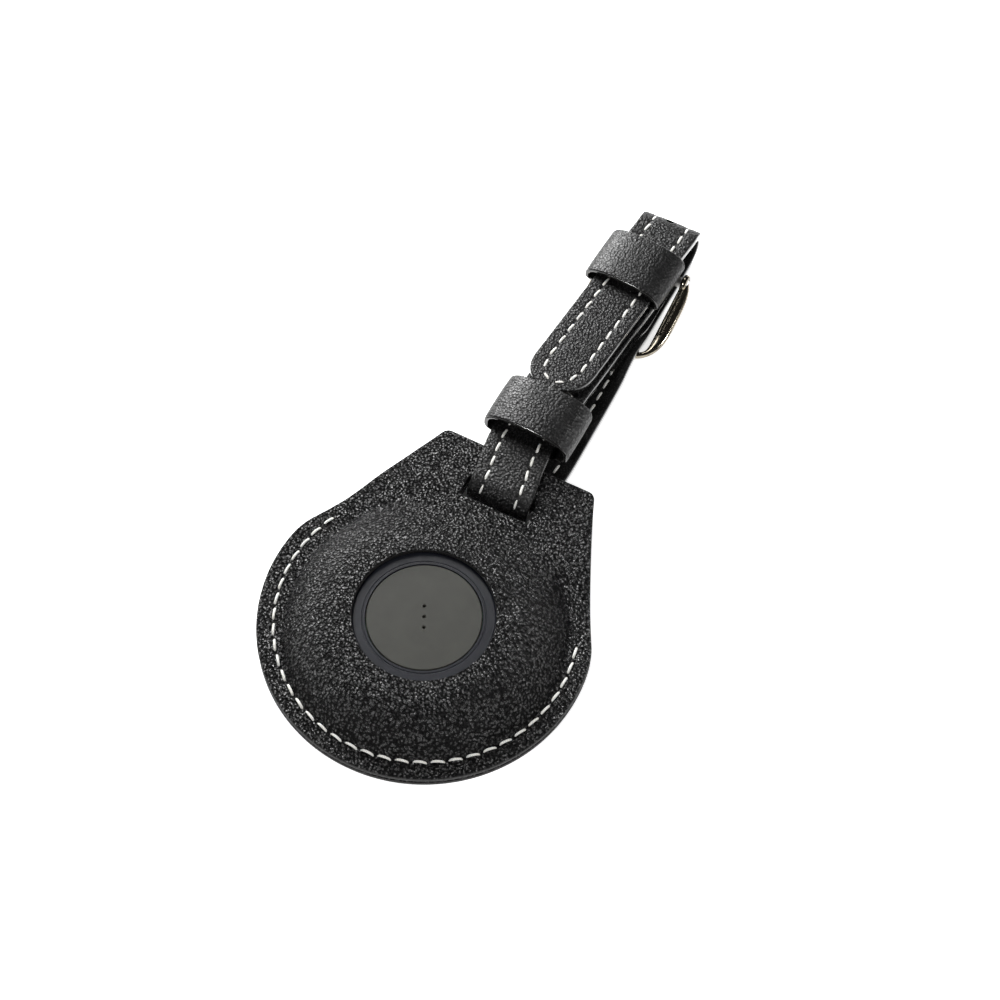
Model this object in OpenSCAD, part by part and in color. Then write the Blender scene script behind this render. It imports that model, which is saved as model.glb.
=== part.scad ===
// Bluetooth tracker tag in a sewn leather pouch, hung from a buckled leather strap.
// Origin: flat back of the pouch, under the axis of the round tracker.
// +X right, +Y towards the strap, +Z out of the tag's face. Millimetres.

/* [Pouch] */
// Radius of the round part of the pouch
pouch_r = 34.4; // [33:0.1:36]
// Height of that circle's centre above the tracker's axis
pouch_cy = 2.2; // [1:0.1:3]
// Top edge of the neck
neck_top = 42.8; // [42:0.1:44]
// Radius of the shoulder between the round part and the neck
shoulder_r = 16; // [15:0.5:17]
// Thickness of the front and back leather
leather_t = 1.3; // [1:0.1:1.5]
// Thickness of the lining on the back panel
pocket_lining_t = 0.5; // [0.3:0.1:0.6]
// Radius of the round window
window_r = 14.4; // [14:0.1:15]
// Height of the window's top edge above the back
window_z = 10.5; // [10.3:0.1:11]
// Distance of the stitching from the pouch's edge
seam_inset = 3.5; // [2.8:0.1:4]
// Distance from one stitch to the next
stitch_pitch = 3.5; // [3:0.1:4]
// Length of a stitch
stitch_len = 2.3; // [1.8:0.1:2.6]
// Diameter of the waxed thread
thread_d = 0.6; // [0.4:0.1:0.8]

/* [Tracker] */
// Radius of the tracker's casing
case_r = 16; // [15.8:0.1:16.2]
// Underside of the tracker
case_z0 = 1.9; // [1.85:0.05:2]
// Top face of the tracker
case_z1 = 9.1; // [9:0.05:9.2]
// Radius of the pressable face
face_r = 11.6; // [11.4:0.1:11.7]
// Width of the gap round the face
face_gap = 0.15; // [0.1:0.05:0.2]
// Travel of the face
face_travel = 0.2; // [0.15:0.05:0.25]
// Radius of the three sound holes
sound_hole_r = 0.28; // [0.2:0.01:0.35]
// Distance between the sound holes
sound_hole_pitch = 2.35; // [2:0.05:2.6]
// Angle of the tracker in its pocket
tag_turn = 27; // [0:1:45]
// Radius of the coin cell
cell_r = 10; // [9.9:0.1:10]
// Thickness of the coin cell
cell_t = 3.2; // [3:0.1:3.2]

/* [Strap] */
// Width of the strap
strap_w = 14; // [13.8:0.1:14.2]
// Thickness of the strap's outer leather
outer_t = 1.2; // [1.1:0.05:1.2]
// Thickness of the strap's lining
inner_t = 0.8; // [0.7:0.05:0.8]
// Distance of each row of stitches from the strap's centre line
row_x = 4; // [3.5:0.1:4.5]
// Radius of the prong holes
prong_hole_r = 1; // [0.9:0.05:1.1]

/* [Buckle] */
// Radius of the buckle bar
bar_r = 1.25; // [1.2:0.05:1.25]
// Distance of the bar from the tracker's axis
bar_y = 102.7; // [102.7:0.1:103]
// Height of the bar
bar_z = 4.85; // [4.85:0.05:4.9]
// Thickness of the buckle frame
frame_t = 1.6; // [1.5:0.05:1.65]
// Half the inner width of the buckle frame
frame_in = 8; // [7.95:0.05:8.1]
// Half the outer width of the buckle frame
frame_out = 11.1; // [10.9:0.05:11.2]
// Diameter of the prong
prong_d = 1.3; // [1.2:0.05:1.35]

/* [Hidden] */
$fn = 64;
eps = 0.01;

// Pouch: flange levels, dome and slot
flange_z = leather_t + pocket_lining_t;
flange_top = flange_z + leather_t;
lift_from = 19;
lift_to = 29.5;
neck_lift = 2.3;
neck_slope = 0.045;
dome_foot_r = 29.6;
shoulder_a = 8;
side_r = 270;
side_a = 29.5;
body_shift = -0.8;
neck_shift = 0.2;
slot_w = 16;
slot_x = 0.2;
slot_y0 = 29.8;
slot_y1 = 35;
corner_r = 2;
mouth_inset = 1;
seam_from = 159.5;
seam_to = 375;

// Strap: bend in the slot, turn at the top, fold round the bar
bend_y = 35.35;
bend_z = 4;
bend_r = 2.65;
turn_x = 3.4;
turn_y = 110.9;
turn_z = 5.35;
turn_r = 3.95;
fold_r = bar_r + 0.05;
lining_end_y = 98.5;
bar_x = 3.4;
bar_half = 8.35;
eye_r = 2.1;
eye_w = 1.3;
frame_len = 22.4;
frame_tilt = 9.9;
keeper2_y = 97.8;
keeper2_x = 1.5;
keeper1_y = 53.1;
keeper1_x = -0.7;
keeper_t = 1;
prong_clear = 1.25;
prong_eye_r = 2.05;
holes_x = 3.1;
slot_hole_y0 = 84.6;
slot_hole_y1 = 91;

// Tracker: heights of the stack inside the casing
wall = 1.2;
floor_z = case_z0 + 1;
cell_z0 = floor_z + 0.15;
cell_z1 = cell_z0 + cell_t;
board_z0 = 6.5;
board_z1 = 7.1;
split_z = 5.2;
part_top = 7.9;
cover_r = 11.1;
face_edge = 0.15;
tab_angles = [0, 120, 240];

// ---------------------------------------------------------------- functions

// Points of an arc in the plane
function arc(c, r, a0, a1, n) = [for (i = [0:n]) let (a = a0 + (a1 - a0) * i / n) c + r * [cos(a), sin(a)]];

function skip_first(p) = [for (i = [1:len(p) - 1]) p[i]];

// Outline of the pouch, moved inwards by d: round body, shoulder, almost straight side and rounded corner
shoulder_c = [0, pouch_cy] + (pouch_r - shoulder_r) * [cos(shoulder_a), sin(shoulder_a)];
side_c = shoulder_c + (shoulder_r + side_r) * [cos(side_a), sin(side_a)];
function corner_centre(d, r) = let (y = neck_top - d - r)
    [side_c.x - sqrt(pow(side_r + d + r, 2) - pow(side_c.y - y, 2)), y];
function half_outline(d) = let (r = max(corner_r - d, 0.3), c = corner_centre(d, r),
        end_a = asin((side_c.y - c.y) / (side_r + d + r))) concat(
    arc([0, pouch_cy], pouch_r - d, -90, shoulder_a, 36),
    skip_first(arc(shoulder_c, shoulder_r - d, shoulder_a, side_a, 6)),
    skip_first(arc(side_c, side_r + d, 180 + side_a, 180 + end_a, 8)),
    skip_first(arc(c, r, end_a, 90, 6)));
function mirrored(p) = [for (i = [len(p) - 1:-1:1]) [-p[i].x, p[i].y]];

// The round body sits a little to the left of the neck
function sway(y) = body_shift + (neck_shift - body_shift) * min(max((y - 8) / 34, 0), 1);
function outline(d) = let (h = half_outline(d)) [for (q = concat(h, mirrored(h))) [q.x + sway(q.y), q.y]];

// Height by which the neck bends up over the strap behind it
function lift(y) = y <= lift_from ? 0
    : y < lift_to ? neck_lift * (1 - cos(180 * (y - lift_from) / (lift_to - lift_from))) / 2
    : neck_lift + (y - lift_to) * neck_slope;
sheet_ys = concat([-40], [for (i = [0:14]) lift_from + i * (lift_to - lift_from) / 14], [50]);

// Smooth curve through control points
function catmull(a, b, c, d, t) = 0.5 * ((2 * b) + (c - a) * t + (2 * a - 5 * b + 4 * c - d) * t * t
    + (3 * b - a - 3 * c + d) * t * t * t);
function spline(p, n) = [for (i = [0:len(p) - 2]) for (k = [0:n - 1])
    catmull(p[max(i - 1, 0)], p[i], p[i + 1], p[min(i + 2, len(p) - 1)], k / n)];
function turn(x, y, z, r, a0, a1, n) = [for (i = [0:n]) let (a = a0 + (a1 - a0) * i / n)
    [x, y + r * cos(a), z + r * sin(a)]];

// Route of the strap's glue line, between outer leather and lining:
// flap, fold, front run, bend, back run, turn, tongue
flap_run = [[1, 73.6, 5.9], [1.7, 80, 5.9], [1.95, 82.4, 5.8], [2.2, 84.5, 5.35], [2.65, 88.3, 4.35],
            [2.75, 94, 3.9], [2.85, 99.5, 3.62]];
front_run = [[2.7, 99, 6.12], [2, 90, 6.15], [1.1, 80, 6.8], [0.2, 70, 7.15], [-0.6, 62, 7.3], [-1.1, 54, 7.3],
             [-1.3, 46.5, 7.3], [-1, 42.3, 7.2], [-0.4, 38.5, 6.85]];
back_run = [[1.6, 40, 1.2], [2.9, 46, 1.2], [3.1, 60, 1.2], [3.1, 72, 1.25], [3.1, 76, 2.4], [3.1, 79.6, 3.52],
            [3.2, 83, 3.6], [3.2, 86.3, 2.25], [3.1, 89.5, 1.42], [3.2, 96, 1.35], [3.4, 104, 1.4]];
tongue_run = [[2.6, 104, 9.3], [1.9, 96, 9.33], [1.1, 88, 9.33], [0.1, 78, 9.35], [-0.8, 69, 9.45],
              [-1.9, 59.4, 9.5]];
fold = turn(2.85, bar_y, bar_z, fold_r, -90, 90, 14);
bend = turn(0.1, bend_y, bend_z, bend_r, 90, 270, 14);
top_turn = turn(turn_x, turn_y, turn_z, turn_r, -90, 90, 16);
run_n = 4;
flap_pts = concat(spline(concat(flap_run, [fold[0]]), run_n), fold);
front_pts = spline(concat([fold[14]], front_run, [bend[0]]), run_n);
back_pts = concat(bend, spline(concat([bend[14]], back_run, [top_turn[0]]), run_n));
tongue_pts = concat(top_turn, spline(concat([top_turn[16]], tongue_run), run_n), [tongue_run[5]]);
route = concat(flap_pts, skip_first(front_pts), back_pts, tongue_pts);
clean_route = [for (i = [0:len(route) - 1])
    if (i == 0 || norm(route[i] - route[max(i - 1, 0)]) > 0.02) route[i]];
n_route = len(clean_route);

// Where the lining begins: the first point of the front run below lining_end_y
first_lined = min([for (i = [0:n_route - 1]) if (i > len(flap_pts) && clean_route[i].y < lining_end_y) i]);

// Outward direction at route point i, in the plane across the strap
function tangent(p, i) = let (d = p[min(i + 1, len(p) - 1)] - p[max(i - 1, 0)])
    [0, d.y, d.z] / norm([0, d.y, d.z]);
function outward(p, i) = let (t = tangent(p, i)) [0, t.z, -t.y];

// Half the width of the strap near its pointed tip, at a distance s from the tip
tip_len = 8;
function tip_half(s) = s >= tip_len ? strap_w / 2 : strap_w / 2 * pow(1 - pow(1 - s / tip_len, 2.4), 0.5);

// Distances along a list of points
function lengths(p, i = 0, s = 0, out = []) = i >= len(p) ? out
    : let (s2 = i == 0 ? 0 : s + norm(p[i] - p[i - 1])) lengths(p, i + 1, s2, concat(out, [s2]));

// ---------------------------------------------------------------- shared modules

// Ribbon along points p between the offsets t0 and t1 from the glue line
module ribbon(p, half, t0, t1) {
    n = len(p);
    pts = [for (i = [0:n - 1]) let (o = outward(p, i), w = half[i])
        each [p[i] + o * t0 + [w, 0, 0], p[i] + o * t1 + [w, 0, 0],
              p[i] + o * t1 - [w, 0, 0], p[i] + o * t0 - [w, 0, 0]]];
    sides = [for (i = [0:n - 2]) for (k = [0:3]) let (a = 4 * i + k, b = 4 * i + (k + 1) % 4)
        each [[b + 4, b, a], [a + 4, b + 4, a]]];
    caps = [[0, 1, 2], [0, 2, 3], [4 * n - 2, 4 * n - 3, 4 * n - 4], [4 * n - 1, 4 * n - 2, 4 * n - 4]];
    polyhedron(pts, concat(sides, caps));
}

// Stitches along points p, at height h along the outward direction and at x offset dx
module stitches(p, dx, h) {
    s = lengths(p);
    total = s[len(s) - 1];
    for (k = [0:floor(total / stitch_pitch) - 1]) {
        at = (k + 0.5) * stitch_pitch;
        i = max([for (j = [0:len(s) - 2]) if (s[j] <= at) j]);
        f = (at - s[i]) / (s[i + 1] - s[i]);
        c = p[i] + (p[i + 1] - p[i]) * f + outward(p, i) * h + [dx, 0, 0];
        d = (p[i + 1] - p[i]) / norm(p[i + 1] - p[i]);
        thread_bar(c, d, stitch_len);
    }
}

// One stitch, a short round bar centred on c along direction d
module thread_bar(c, d, len) {
    translate(c) rotate([0, acos(d.z), atan2(d.y, d.x)])
        cylinder(d = thread_d, h = len, center = true, $fn = 24);
}

// Flat panel with the pouch's outline that bends up at the neck
module bent_panel(inset, z0, z1) {
    intersection() {
        linear_extrude(height = 20) polygon(outline(inset));
        rotate([90, 0, 90]) linear_extrude(height = 90, center = true)
            polygon(concat([for (y = sheet_ys) [y, z0 + lift(y)]],
                           [for (i = [len(sheet_ys) - 1:-1:0]) [sheet_ys[i], z1 + lift(sheet_ys[i])]]));
    }
}

// Slot for the strap
module slot_cut() {
    translate([slot_x - slot_w / 2, slot_y0, -1]) cube([slot_w, slot_y1 - slot_y0, 20]);
}

// Closed band seen along the strap: half width a, heights up and down from its middle
function band_point(a, up, down, n_up, n_down, t) = let (c = cos(t), s = sin(t), n = s >= 0 ? n_up : n_down)
    [a * sign(c) * pow(abs(c), 2 / n), (s >= 0 ? up : down) * sign(s) * pow(abs(s), 2 / n)];
module band_2d(a, up, down, n_up, n_down) {
    polygon([for (i = [0:71]) band_point(a, up, down, n_up, n_down, i * 5 + 0.001)]);
}
module keeper(x, y, z, turn_deg, len, a, up, down, n_in) {
    translate([x, y, z]) rotate([0, 0, turn_deg]) rotate([90, 0, 0])
        linear_extrude(height = len, center = true) difference() {
            band_2d(a, up, down, 2.6, 3);
            band_2d(a - keeper_t, up - keeper_t, down - keeper_t, 2.8, n_in);
        }
}

// Ring with a rectangular section
module ring(r0, r1, z0, z1) {
    translate([0, 0, z0]) difference() {
        cylinder(r = r1, h = z1 - z0);
        translate([0, 0, -1]) cylinder(r = r0, h = z1 - z0 + 2);
    }
}

// ---------------------------------------------------------------- pouch

// Outer skin of the dome from the window's edge down to the flange, as heights over radius
function dome_z(r, foot, low, high) = let (t = min((r - window_r) / (foot - window_r), 1))
    low + (high - low) * pow(1 - t * t, 0.8);
function dome_line(foot, low, high) = [for (i = [0:20]) let (r = window_r + (foot - window_r) * sin(i * 4.5))
    [r, dome_z(r, foot, low, high)]];

module pouch_front() {
    color("#1d1c1b") difference() {
        union() {
            bent_panel(0, flange_z, flange_top);
            rotate_extrude($fn = 96)
                polygon(concat([[0, flange_z], [0, window_z]], dome_line(dome_foot_r, flange_z, window_z)));
        }
        bent_panel(0, -1, flange_z);
        rotate_extrude($fn = 96) polygon(concat([[0, 0], [0, window_z - leather_t]],
            dome_line(dome_foot_r - leather_t - 0.2, 0, window_z - leather_t)));
        translate([0, 0, 5]) cylinder(r = window_r, h = 10, $fn = 96);
        slot_cut();
    }
}

module pouch_back() {
    color("#1b1a1a") difference() {
        bent_panel(0, 0, leather_t);
        slot_cut();
    }
}

module pouch_lining() {
    color("#2a2826") difference() {
        bent_panel(mouth_inset, leather_t, flange_z);
        slot_cut();
    }
}

module pouch_thread() {
    seam_r = pouch_r - seam_inset;
    step = stitch_pitch / seam_r * 180 / PI;
    color("#e8e4da") for (a = [seam_from:step:seam_to])
        thread_bar([body_shift + seam_r * cos(a), pouch_cy + seam_r * sin(a), flange_top],
                   [-sin(a), cos(a), 0], stitch_len);
}

// ---------------------------------------------------------------- tracker

module front_casing() {
    ridge_r = face_r + 0.6;
    color("#2b2d33") rotate_extrude($fn = 96) polygon([
        [face_r + face_gap, case_z1 - 1.1], [face_r + face_gap, case_z1 - 0.1],
        [face_r + face_gap + 0.1, case_z1], [ridge_r, case_z1], [ridge_r + 0.1, case_z1 - 0.12],
        [ridge_r + 0.25, case_z1 - 0.12], [ridge_r + 0.35, case_z1],
        [window_r - 0.3, case_z1], [window_r + 0.2, case_z1 - 0.15], [case_r - 0.5, case_z1 - 1.3],
        [case_r, case_z1 - 2.2], [case_r, split_z], [case_r - wall, split_z], [case_r - wall, case_z1 - 1.1]]);
}

module rear_casing() {
    color("#26272b") difference() {
        union() {
            ring(case_r - wall, case_r, floor_z - eps, split_z);
            ring(cover_r + 0.1, case_r - 0.8, case_z0, floor_z);
            ring(case_r - 0.8 - eps, case_r, case_z0 + 0.5, floor_z);
        }
        for (a = tab_angles) rotate(a + 30) translate([cover_r - 1, -1.8, case_z0 - 1]) cube([2.4, 3.6, 3]);
    }
}

module mid_frame() {
    color("#3a3b3f") {
        ring(12.6, case_r - wall - 0.1, floor_z, split_z + 0.6);
        ring(cell_r + 0.9, 12.6 + eps, 3.9, split_z + 0.6);
        for (a = [45:90:315]) rotate(a) translate([13.4, 0, split_z + 0.6 - eps])
            cylinder(r = 0.6, h = board_z0 - split_z - 0.6 + eps, $fn = 24);
    }
}

module circuit_board() {
    color("#1f5a3a") translate([0, 0, board_z0]) difference() {
        cylinder(r = case_r - wall - 0.2, h = board_z1 - board_z0);
        for (a = [0, 180]) rotate(a) translate([case_r - wall - 1, 0, -1]) cylinder(r = 1, h = 3, $fn = 32);
    }
}

// A box-shaped component soldered to the board, turned with the tracker
module on_board(x, y, l, w, h) {
    rotate(tag_turn) translate([x - l / 2, y - w / 2, board_z1]) cube([l, w, h]);
}

module bluetooth_chip() {
    color("#15161a") on_board(-6, 5.5, 5, 5, 0.8);
}

module crystal() {
    color("#b9bcc0") on_board(-6, 0.2, 3.2, 2.5, 0.7);
}

module antenna() {
    color("#e6e2d6") on_board(0, 11.2, 9, 2, 0.8);
}

module tact_switch() {
    color("#c7c9cc") {
        on_board(0, 0, 3.6, 3.6, 0.55);
        translate([0, 0, board_z1 + 0.55 - eps]) cylinder(r = 0.9, h = part_top - board_z1 - 0.55, $fn = 32);
    }
}

module piezo_sounder() {
    color("#c9a24a") rotate(tag_turn) translate([7, 0, board_z1]) {
        cylinder(r = 4.2, h = 0.25, $fn = 48);
        translate([0, 0, 0.25 - eps]) cylinder(r = 3, h = 0.4, $fn = 48);
    }
}

module battery_clip() {
    color("#d0d2d4") rotate(tag_turn) intersection() {
        ring(cell_r + 0.15, cell_r + 0.4, cell_z0 + 0.6, board_z0);
        translate([-2.5, -12, 0]) cube([5, 6, 12]);
    }
}

module battery_spring() {
    color("#d0d2d4") rotate(tag_turn) {
        translate([-3, -0.8, cell_z1]) cube([6, 1.6, 0.12]);
        translate([-3, -0.8, cell_z1 + 0.11]) cube([1.2, 1.6, board_z0 - cell_z1 - 0.11]);
    }
}

module coin_cell() {
    color("#c4c7ca") {
        translate([0, 0, cell_z0]) cylinder(r = cell_r, h = cell_t - 0.4);
        translate([0, 0, cell_z1 - 0.4 - eps]) cylinder(r = cell_r - 1.1, h = 0.4 + eps);
    }
}

module seal_ring() {
    color("#55585c") translate([0, 0, floor_z + 0.35]) rotate_extrude($fn = 64)
        translate([cell_r + 0.43, 0]) circle(r = 0.27, $fn = 24);
}

module face_button() {
    top = case_z1 - face_edge;
    color("#4a4b4d") difference() {
        union() {
            translate([0, 0, case_z1 - 0.9]) cylinder(r = face_r, h = 0.9 - face_edge, $fn = 96);
            translate([0, 0, top]) cylinder(r1 = face_r, r2 = face_r - face_edge, h = face_edge, $fn = 96);
            translate([0, 0, part_top + face_travel]) cylinder(r = 1.4, h = 0.3, $fn = 32);
        }
        rotate(tag_turn) for (k = [-1:1]) translate([0, k * sound_hole_pitch, 0]) {
            cylinder(r = sound_hole_r, h = 20, $fn = 24);
            translate([0, 0, top])
                cylinder(r1 = sound_hole_r, r2 = sound_hole_r + 0.25, h = face_edge + 0.1, $fn = 24);
        }
    }
}

module battery_cover() {
    color("#232428") difference() {
        union() {
            translate([0, 0, case_z0]) cylinder(r = cover_r, h = floor_z - case_z0 + 0.02);
            ring(cell_r + 0.75, cover_r, floor_z, floor_z + 0.75);
            for (a = tab_angles) rotate(a) intersection() {
                translate([cell_r + 0.9, -1.5, floor_z + 0.1]) cube([3, 3, 0.65]);
                cylinder(r = 12.3, h = 20);
            }
        }
        translate([-7, -0.8, case_z0 - 1]) cube([14, 1.6, 1.5]);
    }
}

// ---------------------------------------------------------------- strap

s_route = lengths(clean_route);
s_end = s_route[n_route - 1];
half_widths = [for (s = s_route) max(tip_half(s_end - s), 0.3)];

// Slots and holes that the buckle's prong passes through
module prong_cuts() {
    translate([bar_x - prong_clear, 88, 0]) cube([2 * prong_clear, bar_y - 88, bar_z - 0.3]);
    translate([bar_x - prong_clear, bar_y, bar_z]) rotate([0, 90, 0])
        cylinder(r = prong_eye_r + 0.25, h = 2 * prong_clear, $fn = 48);
}
module back_hole() {
    r = prong_hole_r + 0.1;
    translate([bar_x, 0, -1]) linear_extrude(height = 6) hull() for (y = [slot_hole_y0, slot_hole_y1])
        translate([0, y]) circle(r = r, $fn = 32);
}
module turn_hole() {
    translate([turn_x - 0.5, turn_y, turn_z]) rotate([-38, 0, 0]) cylinder(r = prong_hole_r, h = 8, $fn = 32);
}
module spare_holes() {
    for (y = [62:7:69]) translate([holes_x, y, -1]) cylinder(r = prong_hole_r, h = 4, $fn = 32);
}
module strap_holes() {
    difference() {
        prong_cuts();
        translate([-20, 80, -10]) cube([40, 40, 12.27]);
    }
    back_hole();
    turn_hole();
    spare_holes();
}

module strap_leather() {
    color("#1c1b1b") difference() {
        ribbon(clean_route, half_widths, 0, outer_t);
        strap_holes();
    }
}

module strap_lining() {
    lined = [for (i = [first_lined:n_route - 1]) clean_route[i]];
    widths = [for (i = [first_lined:n_route - 1]) half_widths[i]];
    color("#232120") difference() {
        ribbon(lined, widths, -inner_t, -eps);
        strap_holes();
    }
}

// Rows of stitches on the faces that can be seen from the front
module strap_thread() {
    front = [for (p = front_pts) if (p.y < 101 && p.y > 36) p];
    back = [for (p = back_pts) if (p.y > 38.5 && p.z < 4) p];
    tongue = [for (p = tongue_pts) if (p.z > turn_z && p.y > 64) p];
    color("#e8e4da") for (dx = [-row_x, row_x]) {
        stitches(front, dx, outer_t);
        stitches(back, dx, -inner_t);
        stitches(tongue, dx, outer_t);
    }
}

module fixed_keeper() {
    color("#1c1b1b") keeper(keeper2_x, keeper2_y, 9, -3.7, 13.4, 9.2, 3.9, 1.58, 8);
}

module sliding_keeper() {
    color("#1c1b1b") keeper(keeper1_x, keeper1_y, 7.5, -1.4, 12.2, 10, 4.9, 2.7, 8);
}

module buckle_bar() {
    color("#c9cbcd") {
        translate([bar_x - bar_half, bar_y, bar_z]) rotate([0, 90, 0])
            cylinder(r = bar_r, h = 2 * bar_half, $fn = 48);
        for (s = [-1, 1]) translate([bar_x + s * bar_half, bar_y, bar_z]) sphere(r = bar_r, $fn = 48);
    }
}

// Outline of the buckle frame: squarer by the bar, rounder at its far end
far_half = 11.8;
near_half = 14.5;
end_w = 2.2;
notch_w = 1.9;
opening_half = 9;
function frame_point(t) = let (c = cos(t), s = sin(t), n = s >= 0 ? 3.4 : 2.9)
    [frame_out * sign(c) * pow(abs(c), 2 / n),
     (s >= 0 ? near_half : far_half) * sign(s) * pow(abs(s), 2 / n) - frame_len + far_half];
function opening_point(t) = let (c = cos(t), s = sin(t), n = 10)
    [frame_in * sign(c) * pow(abs(c), 2 / n),
     opening_half * sign(s) * pow(abs(s), 2 / n) - frame_len + end_w + opening_half];
module buckle_frame() {
    color("#6f6c66") translate([bar_x, bar_y, bar_z]) rotate([frame_tilt, 0, 0]) difference() {
        union() {
            translate([0, 0, -frame_t / 2]) linear_extrude(height = frame_t) difference() {
                polygon([for (i = [0:89]) frame_point(i * 4 + 0.001)]);
                polygon([for (i = [0:59]) opening_point(i * 6 + 0.001)]);
                translate([-frame_in, end_w + opening_half - frame_len]) square([2 * frame_in, 30]);
            }
            for (s = [0, 1]) mirror([s, 0, 0]) translate([frame_in, 0, 0]) rotate([0, 90, 0])
                cylinder(r = eye_r, h = eye_w, $fn = 48);
        }
        translate([-20, 0, 0]) rotate([0, 90, 0]) cylinder(r = bar_r + 0.05, h = 40, $fn = 48);
        translate([-notch_w / 2, -frame_len - 2, -frame_t]) cube([notch_w, 6, frame_t + 0.45]);
    }
}

// The prong's eye turns on the bar; its shank dips through the strap and rests in the frame's notch
prong_route = [[bar_y - 0.4, bar_z - 1.45], [bar_y - 3, 3.45], [92, 3.6], [84.2, 0.9], [80.2, 0.7]];
module prong_link(a, b) {
    d = b - a;
    translate(a) rotate(atan2(d.y, d.x)) translate([0, -prong_d / 2]) square([norm(d), prong_d]);
    translate(b) circle(d = prong_d, $fn = 32);
}
module buckle_prong() {
    color("#b9b4a8") translate([bar_x, 0, 0]) rotate([90, 0, 90])
        translate([0, 0, -prong_d / 2]) linear_extrude(height = prong_d) difference() {
            union() {
                translate([bar_y, bar_z]) circle(r = prong_eye_r, $fn = 48);
                for (i = [0:3]) prong_link(prong_route[i], prong_route[i + 1]);
            }
            translate([bar_y, bar_z]) circle(r = bar_r + 0.05, $fn = 48);
        }
}

// ---------------------------------------------------------------- nodes

pouch_front();
pouch_back();
pouch_lining();
pouch_thread();
front_casing();
rear_casing();
mid_frame();
circuit_board();
bluetooth_chip();
crystal();
antenna();
tact_switch();
piezo_sounder();
battery_clip();
battery_spring();
coin_cell();
seal_ring();
face_button();
battery_cover();
strap_leather();
strap_lining();
strap_thread();
fixed_keeper();
buckle_bar();
sliding_keeper();
buckle_frame();
buckle_prong();
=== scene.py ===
"""Looks for the bluetooth tracker tag: leather pouch, buckled strap and round tracker, on a pale studio floor."""

import math

import bpy
import numpy as np
from mathutils import Euler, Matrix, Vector, noise


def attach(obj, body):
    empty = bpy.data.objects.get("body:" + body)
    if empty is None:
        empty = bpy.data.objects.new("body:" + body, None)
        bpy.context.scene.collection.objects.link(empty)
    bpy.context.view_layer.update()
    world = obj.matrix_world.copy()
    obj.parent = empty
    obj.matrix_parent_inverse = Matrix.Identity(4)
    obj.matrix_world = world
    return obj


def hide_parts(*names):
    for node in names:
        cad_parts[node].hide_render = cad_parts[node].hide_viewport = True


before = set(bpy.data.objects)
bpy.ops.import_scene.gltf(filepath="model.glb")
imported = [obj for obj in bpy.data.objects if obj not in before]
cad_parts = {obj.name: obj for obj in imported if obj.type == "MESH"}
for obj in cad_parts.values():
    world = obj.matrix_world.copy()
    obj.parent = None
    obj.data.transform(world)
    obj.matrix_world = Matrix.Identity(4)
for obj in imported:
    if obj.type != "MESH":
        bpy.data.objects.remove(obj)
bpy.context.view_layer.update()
MM = 0.001

# ---------------------------------------------------------------- sizes shared with the CAD model, in millimetres

POUCH_R, POUCH_CY = 34.4, 2.2
NECK_TOP, CORNER_R = 42.8, 2.0
SHOULDER_R, SHOULDER_A, SIDE_R, SIDE_A = 16.0, math.radians(8), 270.0, math.radians(29.5)
BODY_SHIFT, NECK_SHIFT = -0.8, 0.2
LEATHER_T, LINING_T = 1.3, 0.5
FLANGE_Z = LEATHER_T + LINING_T
FLANGE_TOP = FLANGE_Z + LEATHER_T
WINDOW_R, WINDOW_Z, DOME_FOOT_R = 14.4, 10.5, 29.6
LIFT_FROM, LIFT_TO, NECK_LIFT, NECK_SLOPE = 19.0, 29.5, 2.3, 0.045
PILLOW_POWER, SLOPE_POWER, SLOPE_REACH = 0.8, 1.15, 0.97
BLEND_WIDTH, NECK_BLEND_WIDTH = 0.9, 2.2
SEAM_INSET, STITCH_PITCH, STITCH_LEN, THREAD_D = 3.5, 3.5, 2.85, 0.52
SEAM_START, SEAM_END = 159.5, 375.0
SLOT_X, SLOT_W, SLOT_Y0, SLOT_Y1 = 0.2, 16.0, 29.8, 35.0
SLOT_CORNER_R, SLOT_CUT_Z, SLOT_CUT_DEPTH = 0.9, -5.0, 25.0
WINDOW_LIP, WINDOW_LIP_UNDER = 0.42, 0.2

SEAM_GROOVE, SEAM_GROOVE_HALF, SEAM_GROOVE_PAST = 0.24, 0.42, 4.0
STITCH_SLANT = 0.12

STRAP_HALF, OUTER_T, INNER_T, ROW_X = 7.0, 1.2, 0.8, 4.0
TIP_LEN, TIP_POWER = 8.0, 2.4
STRAP_EDGE_R, STRAP_CROWN, ROW_GROOVE, ROW_GROOVE_HALF = 0.34, 0.1, 0.16, 0.4
TONGUE_SEWN, TIP_ROW_FROM, TIP_ROW_REACH = 52.0, 9.2, 7.3
BAR_R, BAR_X, BAR_Y, BAR_Z = 1.25, 3.4, 102.7, 4.85
BEND_Y, BEND_Z, BEND_R = 35.35, 4.0, 2.65
TURN_X, TURN_Y, TURN_Z, TURN_R = 3.4, 110.9, 5.35, 3.95
FRAME_T, FRAME_IN, FRAME_OUT, FRAME_LEN, FRAME_TILT = 1.6, 8.0, 11.1, 22.4, 9.9
PRONG_HOLE_R, SPARE_HOLE_X, SPARE_HOLE_YS, FLAP_SLOT_Z = 1.0, 3.1, (62, 69), 2.27
FAR_HALF, NEAR_HALF, EYE_V = 14.5, 11.8, 1.2
RING_FROM, RING_TO, FAR_POWER, NEAR_POWER = 38.5, -218.5, 3.4, 2.9
OPENING_HALF, OPENING_END, OPENING_POWER = 9, 11.2, 8
NOTCH_HALF, NOTCH_Y, NOTCH_Z, NOTCH_DEPTH, BAR_END_X = 0.95, 79.0, -1.0, 2.55, 9.05
TURN_HOLE_TILT = math.radians(38)
KEEPER_T, KEEPER_EDGE_R, KEEPER_INNER_R = 1.0, 0.38, 0.25

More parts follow.
